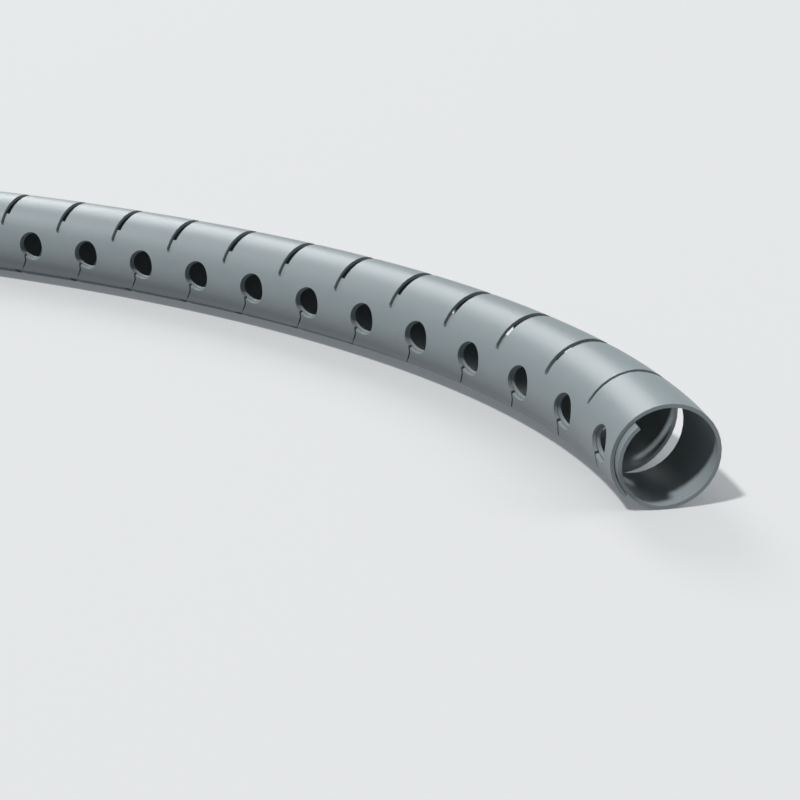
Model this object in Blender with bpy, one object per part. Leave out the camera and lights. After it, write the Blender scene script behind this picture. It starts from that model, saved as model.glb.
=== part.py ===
# Spiral cable wrap: one moulded grey plastic tube whose wall is cut into bands and laps over itself
import bpy
import bmesh
import numpy as np
from math import cos, degrees, exp, floor, radians, sin

# Driving dimensions in metres and degrees
OUTER_RADIUS = 0.0125
WALL = 0.0009
LAP_CLEARANCE = 0.0003
BAND_LENGTH = 0.01874
SLOT_WIDTH = 0.0026
SLOT_CORNER = 0.0007
BAND_COUNT = 47
HOLE_RADIUS = 0.0043
HOLE_FROM_BAND_START = 0.00885
STEM_NEAR = 0.0025
STEM_FAR = 0.0036
STEM_SWEEP = 0.0045
FINGER_SHIFT = 0.0022
END_BEND_RADIUS = 0.127
END_BEND_FADE = 0.081
STEADY_BEND_RADIUS = 0.68
START_HEADING = 99.4

# The first slots are narrower over the top, and the bend opens and shifts them at the back
SLOT_CROWDING = 0.0014
CROWDING_FADE = 0.012
CROWDING_START = 230.0
CROWDING_TURN = 80.0
BACK_OPENING = 0.0024
BACK_SHIFT = 0.0013
BACK_SHIFT_FADE = 0.02
BACK_TURN = 70.0
UNDER_TURN = 40.0

# Angles round the tube, 0 at the top, 90 at the front, 180 on the floor
INNER_EDGE = 41.0
HOLE_ANGLE = 86.5
OUTER_EDGE = 135.0
LAP_END = 166.0
FLOOR_END = 194.0
BACK_FACETS = 7
TIP_ROUNDING = 5.0
TIP_TO_HOLE = 4.0

PITCH = BAND_LENGTH + SLOT_WIDTH
HOLE_SPREAD = degrees(HOLE_RADIUS / (OUTER_RADIUS - WALL / 2.0))
HOLE_TOP = HOLE_ANGLE - HOLE_SPREAD
HOLE_BOTTOM = HOLE_ANGLE + HOLE_SPREAD
SLOT_TIP = HOLE_TOP - TIP_TO_HOLE
LAP_MIDDLE = (OUTER_EDGE + LAP_END) / 2.0
SLOT_HALF = SLOT_WIDTH / 2.0
END_ZONE = HOLE_FROM_BAND_START - HOLE_RADIUS + SLOT_HALF
DIAGONAL = HOLE_RADIUS * cos(radians(45.0))
FACET = (360.0 + INNER_EDGE - FLOOR_END) / BACK_FACETS
CORNER_RADIUS = 2.0 * OUTER_RADIUS / (1.0 + cos(radians(FACET / 2.0)))
LAP_DEPTH = WALL + LAP_CLEARANCE


def clear_scene():
    for old in list(bpy.data.objects):
        bpy.data.objects.remove(old, do_unlink=True)


# The rows run round the tube from the inner free edge to the outer free edge
def row_angles():
    inner = [INNER_EDGE, HOLE_TOP, HOLE_ANGLE, HOLE_BOTTOM, OUTER_EDGE, LAP_MIDDLE, LAP_END, FLOOR_END]
    back = [FLOOR_END + FACET * (i + 1) for i in range(BACK_FACETS)]
    outer = [SLOT_TIP - TIP_ROUNDING, SLOT_TIP, HOLE_TOP, HOLE_ANGLE, HOLE_BOTTOM, OUTER_EDGE]
    return inner + back + [360.0 + a for a in outer]


# The lapped rows lie one wall and a clearance deeper than the rest, with one row half way out
def row_radius(angle):
    if angle <= OUTER_EDGE:
        return CORNER_RADIUS - LAP_DEPTH
    return CORNER_RADIUS - LAP_DEPTH / 2.0 if angle <= LAP_MIDDLE else CORNER_RADIUS


# The inner fingers lean towards the start of the tube
def finger_lean(angle):
    return -FINGER_SHIFT * min(1.0, max(0.0, (OUTER_EDGE - angle) / (OUTER_EDGE - HOLE_ANGLE)))


# How much the edges of the slot after one band have moved, as the shift of its middle and its added width
def slot_change(index, angle):
    if not 0 <= index < BAND_COUNT - 1:
        return 0.0, 0.0
    along = index * PITCH
    back = max(0.0, -sin(radians(angle))) ** 0.6
    behind = max(0.0, min(1.0, (360.0 - angle) / BACK_TURN, (angle - OUTER_EDGE) / UNDER_TURN))
    steady = END_BEND_RADIUS / STEADY_BEND_RADIUS
    bend = (exp(-along / END_BEND_FADE) + steady) / (1.0 + steady)
    over = max(0.0, min(1.0, (angle - CROWDING_START) / CROWDING_TURN))
    middle = -BACK_SHIFT * behind * exp(-along / BACK_SHIFT_FADE)
    return middle, BACK_OPENING * back * bend - SLOT_CROWDING * over * exp(-along / CROWDING_FADE)


# The bands hold their shape round their holes, and only their ends move
def end_shift(along, angle):
    index = floor((along - HOLE_FROM_BAND_START) / PITCH)
    away = along - index * PITCH - BAND_LENGTH - SLOT_HALF
    weight = min(1.0, max(0.0, (END_ZONE - abs(away)) / (END_ZONE - SLOT_HALF)))
    middle, wider = slot_change(index, angle)
    edge = min(1.0, max(-1.0, away / SLOT_HALF))
    return weight * (finger_lean(angle) + middle + edge * wider / 2.0)


# Half of an eight sided hole between its widest row and its tip row
def hole_bite(middle, tip):
    slant = HOLE_ANGLE + (tip - HOLE_ANGLE) * cos(radians(45.0))
    return slant, middle - DIAGONAL, middle + DIAGONAL


# Flat pattern of a strip that only the band's two edges bound, with the hole's tip as a corner beside it
def plain_strip(start, low, high):
    end, middle = start + BAND_LENGTH, start + HOLE_FROM_BAND_START
    face = [(start, low), (end, low), (end, high), (start, high)]
    if high == HOLE_TOP:
        face.insert(3, (middle, high))
    if low == HOLE_BOTTOM:
        face.insert(1, (middle, low))
    return [face]


# A strip with half a hole: the hole is widest at its middle row and ends on its tip row
def hole_strip(start, tip, turn):
    middle, end = start + HOLE_FROM_BAND_START, start + BAND_LENGTH
    slant, left, right = hole_bite(middle, tip)
    wide, tip, slant = HOLE_ANGLE + turn, tip + turn, slant + turn
    return [[(start, wide), (middle - HOLE_RADIUS, wide), (left, slant), (middle, tip), (start, tip)],
            [(middle, tip), (right, slant), (middle + HOLE_RADIUS, wide), (end, wide), (end, tip)]]


# The outer strip under the hole: its stem runs down from the hole and slants away to the free edge
def stem_strips(start):
    middle, end = start + HOLE_FROM_BAND_START, start + BAND_LENGTH
    slant, left, right = hole_bite(middle, HOLE_BOTTOM)
    wide, tip, slant, edge = (360.0 + a for a in (HOLE_ANGLE, HOLE_BOTTOM, slant, OUTER_EDGE))
    near, far = middle + STEM_NEAR, middle + STEM_FAR
    near_end, far_end, side = near + STEM_SWEEP, far + STEM_SWEEP, middle + HOLE_RADIUS
    return [[(start, wide), (middle - HOLE_RADIUS, wide), (left, slant), (middle, tip), (start, tip)],
            [(middle, tip), (near, slant), (near, tip)],
            [(side, wide), (end, wide), (end, tip), (far, tip)],
            [(start, tip), (middle, tip), (near, tip), (near_end, edge), (start, edge)],
            [(far, tip), (end, tip), (end, edge), (far_end, edge)]]


# The strip at the rounded ends of the slots on both sides of the band
def tip_strips(start, first, last):
    end = start + BAND_LENGTH
    left = start if first else start - SLOT_CORNER
    right = end if last else end + SLOT_CORNER
    low, tip, hole = (360.0 + a for a in (SLOT_TIP - TIP_ROUNDING, SLOT_TIP, HOLE_TOP))
    return [[(start, low), (end, low), (right, tip), (left, tip)],
            [(left, tip), (right, tip), (end, hole), (start + HOLE_FROM_BAND_START, hole), (start, hole)]]


# The outer strap that joins a band to the next one
def bridge_strips(start):
    end, far = start + BAND_LENGTH, start + PITCH
    rows = [360.0 + a for a in (HOLE_TOP, HOLE_ANGLE, HOLE_BOTTOM, OUTER_EDGE)]
    tip = 360.0 + SLOT_TIP
    faces = [[(end + SLOT_CORNER, tip), (far - SLOT_CORNER, tip), (far, rows[0]), (end, rows[0])]]
    for low, high in zip(rows, rows[1:]):
        faces.append([(end, low), (far, low), (far, high), (end, high)])
    return faces


def band_faces(index):
    start = index * PITCH
    rows = row_angles()
    faces = []
    for low, high in zip(rows, rows[1:]):
        if high <= HOLE_TOP or HOLE_BOTTOM <= low < 360.0 + SLOT_TIP - TIP_ROUNDING:
            faces += plain_strip(start, low, high)
    faces += hole_strip(start, HOLE_TOP, 0.0)
    faces += hole_strip(start, HOLE_BOTTOM, 0.0)
    faces += tip_strips(start, index == 0, index == BAND_COUNT - 1)
    faces += hole_strip(start, HOLE_TOP, 360.0)
    faces += stem_strips(start)
    if index < BAND_COUNT - 1:
        faces += bridge_strips(start)
    return faces


# The middle line bends most at its start and eases to a steady curve
def middle_line():
    along = np.linspace(-PITCH, BAND_COUNT * PITCH, 4001)
    fade = np.exp(-np.maximum(along, 0.0) / END_BEND_FADE)
    turned = END_BEND_FADE / END_BEND_RADIUS * (1.0 - fade) + along / STEADY_BEND_RADIUS
    heading = radians(START_HEADING) + np.where(along < 0.0, 0.0, turned)
    step = along[1] - along[0]
    x = np.concatenate([[0.0], np.cumsum(np.cos(heading[:-1]) + np.cos(heading[1:])) * step / 2.0])
    y = np.concatenate([[0.0], np.cumsum(np.sin(heading[:-1]) + np.sin(heading[1:])) * step / 2.0])
    return along, x, y, heading


# A place in the flat pattern becomes a place on the rolled and bent wall
def rolled(line, along, angle, depth):
    rows = row_angles()
    radii = [row_radius(a) - depth for a in rows]
    side = np.interp(angle, rows, [r * sin(radians(a)) for r, a in zip(radii, rows)])
    up = np.interp(angle, rows, [r * cos(radians(a)) for r, a in zip(radii, rows)])
    place = along + end_shift(along, angle)
    x, y, heading = (np.interp(place, line[0], values) for values in line[1:])
    return x - side * sin(heading), y + side * cos(heading), up


def flat_pattern(mesh):
    known = {}
    for index in range(BAND_COUNT):
        for face in band_faces(index):
            corners = []
            for along, angle in face:
                key = (round(along, 7), round(angle, 3))
                if key not in known:
                    known[key] = mesh.verts.new((along, angle, 0.0))
                corners.append(known[key])
            mesh.faces.new(corners)


# The flat pattern is thickened, triangulated, rolled up and set on the floor
def cable_wrap():
    mesh = bmesh.new()
    flat_pattern(mesh)
    extruded = bmesh.ops.extrude_face_region(mesh, geom=list(mesh.faces), use_keep_orig=True)
    for part in extruded["geom"]:
        if isinstance(part, bmesh.types.BMVert):
            part.co.z = WALL
    bmesh.ops.recalc_face_normals(mesh, faces=mesh.faces)
    line = middle_line()
    for vert in mesh.verts:
        vert.co = rolled(line, *vert.co)
    bmesh.ops.triangulate(mesh, faces=mesh.faces)
    places = np.array([vert.co for vert in mesh.verts])
    low, high = places.min(axis=0), places.max(axis=0)
    shift = (-(low[0] + high[0]) / 2.0, -(low[1] + high[1]) / 2.0, -low[2])
    bmesh.ops.translate(mesh, vec=shift, verts=mesh.verts)
    bmesh.ops.recalc_face_normals(mesh, faces=mesh.faces)
    return mesh


def grey_plastic():
    material = bpy.data.materials.new("grey_plastic")
    material.use_nodes = True
    shader = material.node_tree.nodes["Principled BSDF"]
    shader.inputs["Base Color"].default_value = (0.13, 0.152, 0.16, 1.0)
    shader.inputs["Roughness"].default_value = 0.5
    return material


def build():
    clear_scene()
    mesh = cable_wrap()
    data = bpy.data.meshes.new("cable_wrap")
    mesh.to_mesh(data)
    mesh.free()
    data.materials.append(grey_plastic())
    part = bpy.data.objects.new("cable_wrap", data)
    bpy.context.scene.collection.objects.link(part)


build()
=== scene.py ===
import math

import bpy
import numpy as np
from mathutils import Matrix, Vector


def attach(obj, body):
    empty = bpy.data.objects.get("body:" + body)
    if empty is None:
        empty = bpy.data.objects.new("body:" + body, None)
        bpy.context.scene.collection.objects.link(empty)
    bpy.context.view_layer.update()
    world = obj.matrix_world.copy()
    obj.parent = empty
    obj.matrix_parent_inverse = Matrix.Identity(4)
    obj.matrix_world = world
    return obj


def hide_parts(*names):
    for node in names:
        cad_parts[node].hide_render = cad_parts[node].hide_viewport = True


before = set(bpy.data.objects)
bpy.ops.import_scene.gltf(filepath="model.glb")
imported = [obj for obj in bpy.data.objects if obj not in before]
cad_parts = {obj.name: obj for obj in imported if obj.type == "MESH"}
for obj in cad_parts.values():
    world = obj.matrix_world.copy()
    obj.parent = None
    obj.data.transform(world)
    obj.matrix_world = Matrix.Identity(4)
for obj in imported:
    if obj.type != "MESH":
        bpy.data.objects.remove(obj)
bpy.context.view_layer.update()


# Small helpers

class Sock:
    # wraps a node socket, so that sums of sockets and numbers add Math nodes

    def __init__(self, tree, socket):
        self.tree = tree
        self.socket = socket

    def maths(self, kind, a, b):
        return self.tree.node("ShaderNodeMath", {"operation": kind}, {0: a, 1: b})

    def __add__(self, other): return self.maths("ADD", self, other)
    def __radd__(self, other): return self.maths("ADD", other, self)
    def __mul__(self, other): return self.maths("MULTIPLY", self, other)
    def __rmul__(self, other): return self.maths("MULTIPLY", other, self)


class Tree:
    # one node tree, and the one method that adds any node to it

    def __init__(self, nodeTree):
        self.nodes = nodeTree.nodes
        self.links = nodeTree.links

    def node(self, kind, settings=None, sockets=None, out=0):
        made = self.nodes.new(kind)
        for name, value in (settings or {}).items():
            setattr(made, name, value)
        for key, value in (sockets or {}).items():
            if isinstance(value, Sock):
                self.links.new(value.socket, made.inputs[key])
            else:
                made.inputs[key].default_value = value
        return Sock(self, made.outputs[out])


def putMesh(name, points, quads):
    # arrays of corners and four-sided faces become a smooth mesh object at the origin
    mesh = bpy.data.meshes.new(name)
    mesh.vertices.add(len(points))
    mesh.vertices.foreach_set("co", np.asarray(points, float).ravel())
    mesh.loops.add(quads.size)
    mesh.loops.foreach_set("vertex_index", quads.astype(np.int32).ravel())
    mesh.polygons.add(len(quads))
    mesh.polygons.foreach_set("loop_start", np.arange(0, quads.size, 4, dtype=np.int32))
    mesh.polygons.foreach_set("use_smooth", np.ones(len(quads), bool))
    mesh.update(calc_edges=True)
    made = bpy.data.objects.new(name, mesh)
    bpy.context.scene.collection.objects.link(made)
    return made


# The wrap: lengths in metres, and angles in degrees from the top towards the front

wrap = {
    "radius": 0.0125,        # outside of the outer layer
    "wall": 0.0009,
    "lapGap": 0.00015,       # between the two layers
    "band": 0.01914,
    "slot": 0.0022,
    "bands": 47,
    "hole": 0.0043,          # radius
    "holeAt": 0.00885,       # from the start of its band
    "holeAngle": 86.5,
    "holeReach": 30.0,       # the ring of faces round the inner hole ends this far above and below it
    "holeFoot": 110.0,       # and the one round the outer hole ends here
    "innerRingStart": 141.4,                          # the turn that meets the ring's lower left corner
    "outerRingTurns": (140.0, 225.0, 315.0, 372.0),   # the turns that meet the outer ring's corners
    "stemNear": 0.0026,      # the stem's sides, from the hole's middle
    "stemFar": 0.0031,
    "stemSweep": 0.0045,     # how far the stem has moved along where it ends
    "stemPower": 1.2,
    "finger": 0.0022,        # how far the inner layer leans out of the start
    "fingerFade": 100.0,     # the lean is full from here to the inner edge
    "innerEdge": 41.0,
    "slotTip": 62.0,         # where the slots end on the outer layer
    "tipRound": 5.0,
    "tipFade": 0.7,          # how much of the round tip is gone at each next row
    "outerEdge": 135.0,
    "lapFrom": 131.0,        # over these angles the wall steps out of the lap
    "lapTo": 176.0,
    "endBend": 0.127,        # radius of the bend at the start, which fades into the steady bend
    "bendFade": 0.081,
    "steadyBend": 0.68,
    "heading": 99.4,         # of the tube where it starts, from the x axis
    "start": (0.43571, -0.11713),
    "crowding": 0.0012,      # how much narrower the first slot is
    "crowdingFade": 0.025,
    "crowdFrom": 230.0,      # it sets in behind the tube, and is full this far round
    "crowdTurn": 80.0,
    "backOpening": 0.0024,   # how much the bend opens the first slot at the back
    "backShift": 0.0013,     # and how far it moves that slot to the start
    "backShiftFade": 0.02,
    "backPower": 0.6,
    "backTurn": 70.0,        # the shift is full this far behind the top
    "underTurn": 40.0,       # and this far past the outer edge
    "edgeRound": 0.00026,
}


def ruled(a, b, ways):
    # straight lines between two curves of the same number of points: a + (b - a) t
    t = np.array(ways)[:, None, None]
    return a[None] * (1.0 - t) + b[None] * t


def block(columns, rows):
    # the grid of all pairs of a column and a row
    return np.stack(np.meshgrid(columns, rows), axis=2)


def outline(columns, rows):
    # the border of a rectangle from its lower left corner: left, top, right, bottom
    left = np.stack([np.full(len(rows), columns[0]), rows[::-1]], 1)
    top = np.stack([columns, np.full(len(columns), rows[0])], 1)
    right = np.stack([np.full(len(rows), columns[-1]), rows], 1)
    bottom = np.stack([columns[::-1], np.full(len(columns), rows[-1])], 1)
    return np.concatenate([left, top[1:], right[1:], bottom[1:]])


def holeArc(w, turns):
    # part of the hole's circle: middle + radius (cos turn, sin turn), where a quarter turn points down
    turn = np.radians(turns)
    spread = math.degrees(w["hole"] / (w["radius"] - w["wall"] / 2.0))
    return np.stack([w["holeAt"] + w["hole"] * np.cos(turn), w["holeAngle"] + spread * np.sin(turn)], 1)


def stemSide(w, offset, angles):
    # one side of the stem: straight below the hole, then swept along the tube by a power of the way down
    bottom = holeArc(w, [90.0])[0, 1]
    way = np.clip((angles - bottom) / (w["outerEdge"] - bottom), 0.0, 1.0) ** w["stemPower"]
    return np.stack([w["holeAt"] + offset + w["stemSweep"] * way, angles], 1)


def outerRows(w):
    # rows of the outer layer, close together beside the hole's lower half
    tip, middle, under, edge = w["slotTip"] - w["tipRound"], w["holeAngle"], w["holeFoot"], w["outerEdge"]
    return np.concatenate([np.linspace(tip, middle, 5), np.linspace(middle, under, 9)[1:],
                           np.linspace(under, edge, 4)[1:]])


def flatInner(w, columns):
    # the inner layer with its round hole
    top, bottom = w["holeAngle"] - w["holeReach"], w["holeAngle"] + w["holeReach"]
    border = outline(columns, np.linspace(top, bottom, 7))
    arc = holeArc(w, w["innerRingStart"] + np.linspace(0.0, 360.0, len(border)))
    above = block(columns, np.linspace(w["innerEdge"], top, 3))
    below = block(columns, np.linspace(bottom, w["outerEdge"], 3))
    return [above, ruled(border, arc, [0.0, 0.5, 0.93, 1.0]), below]


def besideStem(w, angles):
    # the grids on both sides of the stem below the hole
    edge = np.stack([np.zeros(len(angles)), angles], 1)
    left = ruled(edge, stemSide(w, w["stemNear"], angles), np.linspace(0.0, 1.0, 6))
    right = ruled(stemSide(w, w["stemFar"], angles), edge + [w["band"], 0.0], np.linspace(0.0, 1.0, 4))
    return left.transpose(1, 0, 2), right.transpose(1, 0, 2)


def flatOuter(w, columns):
    # the outer layer: a ring round the hole that is open at the stem, with a grid on each side below
    rows = outerRows(w)
    upper, lower = rows[rows < w["holeFoot"] + 0.1], rows[rows > w["holeFoot"] - 0.1]
    left, right = besideStem(w, lower)
    sides = outline(columns, upper)[:-len(columns) + 1]
    border = np.concatenate([left[0, ::-1], sides[1:], right[0, -2::-1]])
    near = math.degrees(math.acos(w["stemNear"] / w["hole"]))
    far = 360.0 + math.degrees(math.acos(w["stemFar"] / w["hole"]))
    lowLeft, highLeft, highRight, lowRight = w["outerRingTurns"]
    turns = [np.linspace(near, lowLeft, 6), np.linspace(lowLeft, highLeft, len(upper))[1:],
             np.linspace(highLeft, highRight, 9)[1:], np.linspace(highRight, lowRight, len(upper))[1:],
             np.linspace(lowRight, far, 4)[1:]]
    ring = ruled(border, holeArc(w, np.concatenate(turns)), [0.0, 0.5, 0.92, 1.0])
    return [ring + [0.0, 360.0], left + [0.0, 360.0], right + [0.0, 360.0]]


def flatBand(w):
    # the flat pattern of one band as grids of (length, angle)
    columns = np.linspace(0.0, w["band"], 9)
    back = np.linspace(w["outerEdge"], 360.0 + w["slotTip"] - w["tipRound"], 29)
    return flatInner(w, columns) + [block(columns, back)] + flatOuter(w, columns)


def flatStrap(w):
    # the strap to the next band, whose upper border is the round end of the slot: a bump of sqrt(1 - x x)
    rows = outerRows(w)
    grid = block(np.linspace(w["band"], w["band"] + w["slot"], 7), rows + 360.0)
    across = np.linspace(-1.0, 1.0, 7)
    fade = np.clip(1.0 - w["tipFade"] * np.arange(len(rows)), 0.0, 1.0)
    grid[:, :, 1] += w["tipRound"] * fade[:, None] * np.sqrt(1.0 - across ** 2)[None]
    return grid


def joined(grids):
    # grids become one list of corners and faces, with corners in the same place once
    corners, faces, base = [], [], 0
    for grid in grids:
        n, m = grid.shape[:2]
        index = base + np.arange(n * m).reshape(n, m)
        quads = np.stack([index[:-1, :-1], index[:-1, 1:], index[1:, 1:], index[1:, :-1]], 2)
        corners.append(grid.reshape(-1, 2))
        faces.append(quads.reshape(-1, 4))
        base += n * m
    return merged(np.concatenate(corners), np.concatenate(faces))


def merged(corners, faces):
    # corners that agree to a tenth of a micron and a thousandth of a degree become one
    key = np.round(corners * [1e7, 1e3]).astype(np.int64)
    first, back = np.unique(key, axis=0, return_index=True, return_inverse=True)[1:]
    return corners[first], back.ravel()[faces]


def repeated(corners, faces, starts):
    # one copy of a pattern at each start along the tube
    many = corners[None] + starts[:, None, None] * [1.0, 0.0]
    first = np.arange(len(starts))[:, None, None] * len(corners)
    return many.reshape(-1, 2), (first + faces[None]).reshape(-1, 4)


def radiusOf(w, angle):
    # the inner layer is a wall and a gap deeper, and a smooth step leads out of it: 3 t t - 2 t t t
    t = np.clip((angle - w["lapFrom"]) / (w["lapTo"] - w["lapFrom"]), 0.0, 1.0)
    return w["radius"] - (w["wall"] + w["lapGap"]) * (1.0 - t * t * (3.0 - 2.0 * t))


def endShift(w, s, angle):
    # the ends of the bands move, by a weight that is 1 at a slot and 0 beside the holes
    pitch, half = w["band"] + w["slot"], w["slot"] / 2.0
    index = np.floor((s - w["holeAt"]) / pitch)
    away = s - index * pitch - w["band"] - half
    zone = w["holeAt"] - w["hole"] + half
    weight = np.clip((zone - np.abs(away)) / (zone - half), 0.0, 1.0)
    # the inner fingers lean; slots open with the bend at the back, which is a power of -sin angle
    lean = -w["finger"] * np.clip((w["outerEdge"] - angle) / (w["outerEdge"] - w["fingerFade"]), 0.0, 1.0)
    back = np.clip(-np.sin(np.radians(angle)), 0.0, 1.0) ** w["backPower"]
    rising, falling = (angle - w["outerEdge"]) / w["underTurn"], (360.0 - angle) / w["backTurn"]
    behind = np.minimum(rising, falling).clip(0.0, 1.0)
    steady = w["endBend"] / w["steadyBend"]
    bend = (np.exp(-index * pitch / w["bendFade"]) + steady) / (1.0 + steady)
    middle = -w["backShift"] * behind * np.exp(-index * pitch / w["backShiftFade"])
    over = np.clip((angle - w["crowdFrom"]) / w["crowdTurn"], 0.0, 1.0)
    narrower = w["crowding"] * over * np.exp(-index * pitch / w["crowdingFade"])
    wider = w["backOpening"] * back * bend - narrower
    isSlot = (index >= 0) & (index < w["bands"] - 1)
    return weight * (lean + isSlot * (middle + np.clip(away / half, -1.0, 1.0) * wider / 2.0))


def middleLine(w):
    # heading = start + fade / bend (1 - exp(-s / fade)) + s / steady bend, and the line is its running sum
    s = np.linspace(-0.02, w["bands"] * (w["band"] + w["slot"]), 6001)
    ahead, fade = np.maximum(s, 0.0), w["bendFade"]
    turned = fade / w["endBend"] * (1.0 - np.exp(-ahead / fade)) + ahead / w["steadyBend"]
    heading = math.radians(w["heading"]) + turned
    middle = (heading[1:] + heading[:-1]) / 2.0
    x = np.concatenate([[0.0], np.cumsum(np.cos(middle))]) * (s[1] - s[0])
    y = np.concatenate([[0.0], np.cumsum(np.sin(middle))]) * (s[1] - s[0])
    x += w["start"][0] - np.interp(0.0, s, x)
    y += w["start"][1] - np.interp(0.0, s, y)
    return s, x, y, heading


def rollUp(w, flat):
    # (length, angle) goes round the tube and along the middle line: line + side normal + up
    s, x, y, heading = middleLine(w)
    angle = flat[:, 1]
    place = flat[:, 0] + endShift(w, flat[:, 0], angle)
    radius = radiusOf(w, angle)
    side, up = radius * np.sin(np.radians(angle)), radius * np.cos(np.radians(angle))
    px, py, ph = (np.interp(place, s, values) for values in (x, y, heading))
    return np.stack([px - side * np.sin(ph), py + side * np.cos(ph), up + w["radius"]], 1)


def makeWrap(w):
    # all bands and straps as one surface, then its wall and its rounded edges
    starts = np.arange(w["bands"]) * (w["band"] + w["slot"])
    bandCorners, bandFaces = repeated(*joined(flatBand(w)), starts)
    strapCorners, strapFaces = repeated(*joined([flatStrap(w)]), starts[:-1])
    corners = np.concatenate([bandCorners, strapCorners])
    flat, quads = merged(corners, np.concatenate([bandFaces, strapFaces + len(bandCorners)]))
    made = putMesh("cable_wrap_skin", rollUp(w, flat), quads)
    pattern = made.data.uv_layers.new(name="flat")
    unrolled = flat * [1.0, math.radians(w["radius"])]
    pattern.data.foreach_set("uv", unrolled[quads.ravel()].ravel())
    thick = made.modifiers.new("wall", "SOLIDIFY")
    thick.thickness, thick.offset = w["wall"], -1.0
    soft = made.modifiers.new("edges", "BEVEL")
    soft.width, soft.segments, soft.angle_limit = w["edgeRound"], 2, math.radians(40.0)
    soft.limit_method, soft.harden_normals = "ANGLE", True
    return made


# Its plastic

plastic = {
    "light": (0.137, 0.157, 0.164, 1.0),
    "dark": (0.122, 0.143, 0.151, 1.0),
    "roughness": 0.33,       # where clouds and lines add nothing to it
    "cloudRoughness": 0.08,
    "lineRoughness": 0.05,
    "cloudShare": 0.6,       # of the mix of the two colours, and the lines have the rest
    "grainShare": 0.5,       # of the height, and the lines have the rest
    "cloudScale": 260.0,
    "grainScale": 2600.0,
    "lines": (30.0, 2400.0, 1.0),
    "bumpHeight": 0.00008,
    "bumpStrength": 0.25,
    "ior": 1.38,
}


def greyPlastic(p):
    # satin plastic with faint clouds, grain and lines drawn along its length
    material = bpy.data.materials.new("grey_plastic_satin")
    material.use_nodes = True
    tree = Tree(material.node_tree)
    shader = material.node_tree.nodes["Principled BSDF"]
    shader.inputs["IOR"].default_value = p["ior"]
    place = tree.node("ShaderNodeTexCoord", out=3)
    flat = tree.node("ShaderNodeUVMap", {"uv_map": "flat"})
    cloud = tree.node("ShaderNodeTexNoise", {}, {"Vector": place, "Scale": p["cloudScale"], "Detail": 4.0})
    drawn = tree.node("ShaderNodeMapping", {}, {"Vector": flat, "Scale": p["lines"]})
    lines = tree.node("ShaderNodeTexNoise", {}, {"Vector": drawn, "Scale": 1.0, "Detail": 3.0})
    grain = tree.node("ShaderNodeTexNoise", {}, {"Vector": place, "Scale": p["grainScale"], "Detail": 2.0})
    cloudy = cloud * p["cloudShare"] + lines * (1.0 - p["cloudShare"])
    mix = {"Factor": cloudy, 6: p["dark"], 7: p["light"]}
    colour = tree.node("ShaderNodeMix", {"data_type": "RGBA"}, mix, out=2)
    rough = cloud * p["cloudRoughness"] + lines * p["lineRoughness"] + p["roughness"]
    height = grain * p["grainShare"] + lines * (1.0 - p["grainShare"])
    relief = {"Height": height, "Strength": p["bumpStrength"], "Distance": p["bumpHeight"]}
    bump = tree.node("ShaderNodeBump", {}, relief)
    tree.links.new(colour.socket, shader.inputs["Base Color"])
    tree.links.new(rough.socket, shader.inputs["Roughness"])
    tree.links.new(bump.socket, shader.inputs["Normal"])
    return material


# Floor, light and camera

studio = {
    "floorSize": 30.0,
    "floorColour": (0.270, 0.267, 0.264, 1.0),
    "floorPaintedGlow": (0.150, 0.162, 0.176, 1.0),   # painted glow, which keeps the shadows on the floor light
    "worldColour": (0.88, 1.0, 1.0, 1.0),
    "worldStrength": 0.36,
    "keyToward": (-0.47, -0.33, 1.0),
    "keyStrength": 5.2,
    "keySoftness": 5.0,
    "fillToward": (-0.3, 0.8, 0.6),
    "fillStrength": 1.55,
    "fillSoftness": 32.0,
    "sideToward": (1.0, 0.0, 0.9),
    "sideStrength": 1.3,
    "sideSoftness": 40.0,
    "camera": (-0.05731, -0.30434, 0.15036),   # from the tube's start on the floor
    "down": 0.388232,        # how far it looks down, in radians
    "lens": 69.80,
}


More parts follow.
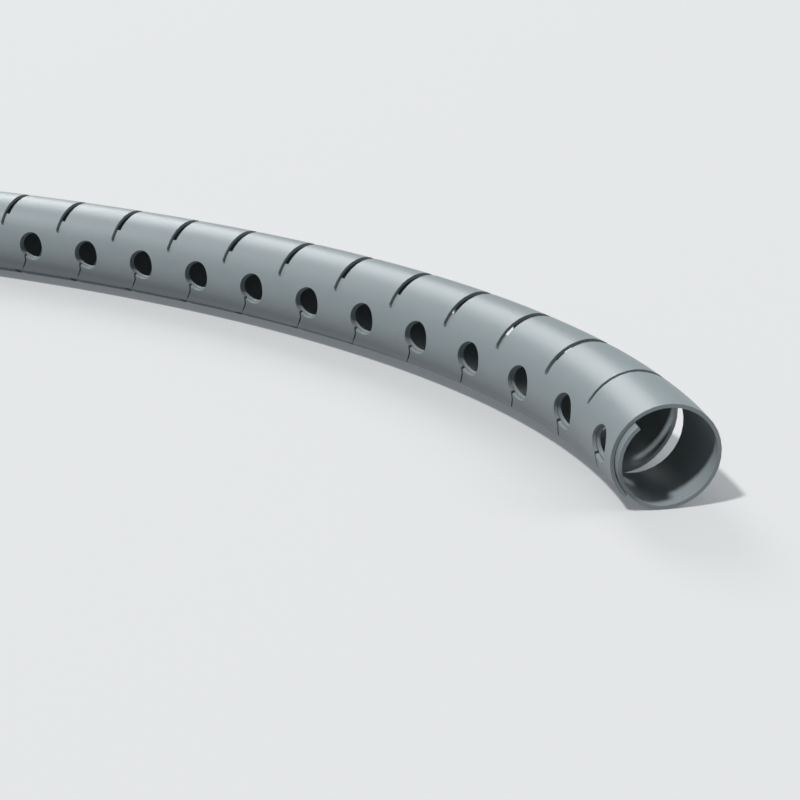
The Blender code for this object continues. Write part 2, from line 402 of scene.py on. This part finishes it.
def makeFloor(v):
    size = v["floorSize"]
    corners = np.array([[-size, -size, 0.0], [size, -size, 0.0], [size, size, 0.0], [-size, size, 0.0]])
    floor = putMesh("studio_floor", corners, np.array([[0, 1, 2, 3]]))
    material = bpy.data.materials.new("pale_floor")
    material.use_nodes = True
    shader = material.node_tree.nodes["Principled BSDF"]
    shader.inputs["Base Color"].default_value = v["floorColour"]
    shader.inputs["Roughness"].default_value = 0.9
    shader.inputs["Specular IOR Level"].default_value = 0.1
    # painted light: the floor glows, which lightens the shadows cast on it
    shader.inputs["Emission Color"].default_value = v["floorPaintedGlow"]
    shader.inputs["Emission Strength"].default_value = 1.0
    floor.data.materials.append(material)


def makeWorld(v):
    world = bpy.data.worlds.new("soft_room")
    bpy.context.scene.world = world
    world.use_nodes = True
    back = world.node_tree.nodes["Background"]
    back.inputs["Color"].default_value = v["worldColour"]
    back.inputs["Strength"].default_value = v["worldStrength"]


def addSun(name, toward, strength, softness):
    data = bpy.data.lights.new(name, "SUN")
    data.energy, data.angle = strength, math.radians(softness)
    made = bpy.data.objects.new(name, data)
    made.rotation_mode = "QUATERNION"
    made.rotation_quaternion = Vector(toward).to_track_quat("Z", "Y")
    bpy.context.scene.collection.objects.link(made)


def makeCamera(v, start):
    data = bpy.data.cameras.new("photo_camera")
    data.lens, data.sensor_width = v["lens"], 36.0
    data.clip_start, data.clip_end = 0.01, 100.0
    made = bpy.data.objects.new("photo_camera", data)
    x, y, z = v["camera"]
    made.location = start[0] + x, start[1] + y, z
    made.rotation_euler = math.pi / 2.0 - v["down"], 0.0, 0.0
    bpy.context.scene.collection.objects.link(made)
    bpy.context.scene.camera = made


makeCamera(studio, wrap["start"])
makeFloor(studio)
makeWorld(studio)
addSun("key", studio["keyToward"], studio["keyStrength"], studio["keySoftness"])
addSun("fill", studio["fillToward"], studio["fillStrength"], studio["fillSoftness"])
addSun("side", studio["sideToward"], studio["sideStrength"], studio["sideSoftness"])
bpy.context.scene.view_settings.view_transform = "Standard"
print("studio done")

skin = makeWrap(wrap)
skin.data.materials.append(greyPlastic(plastic))
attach(skin, "root")
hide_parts("cable_wrap")
print("wrap done", len(skin.data.polygons), "flat faces")
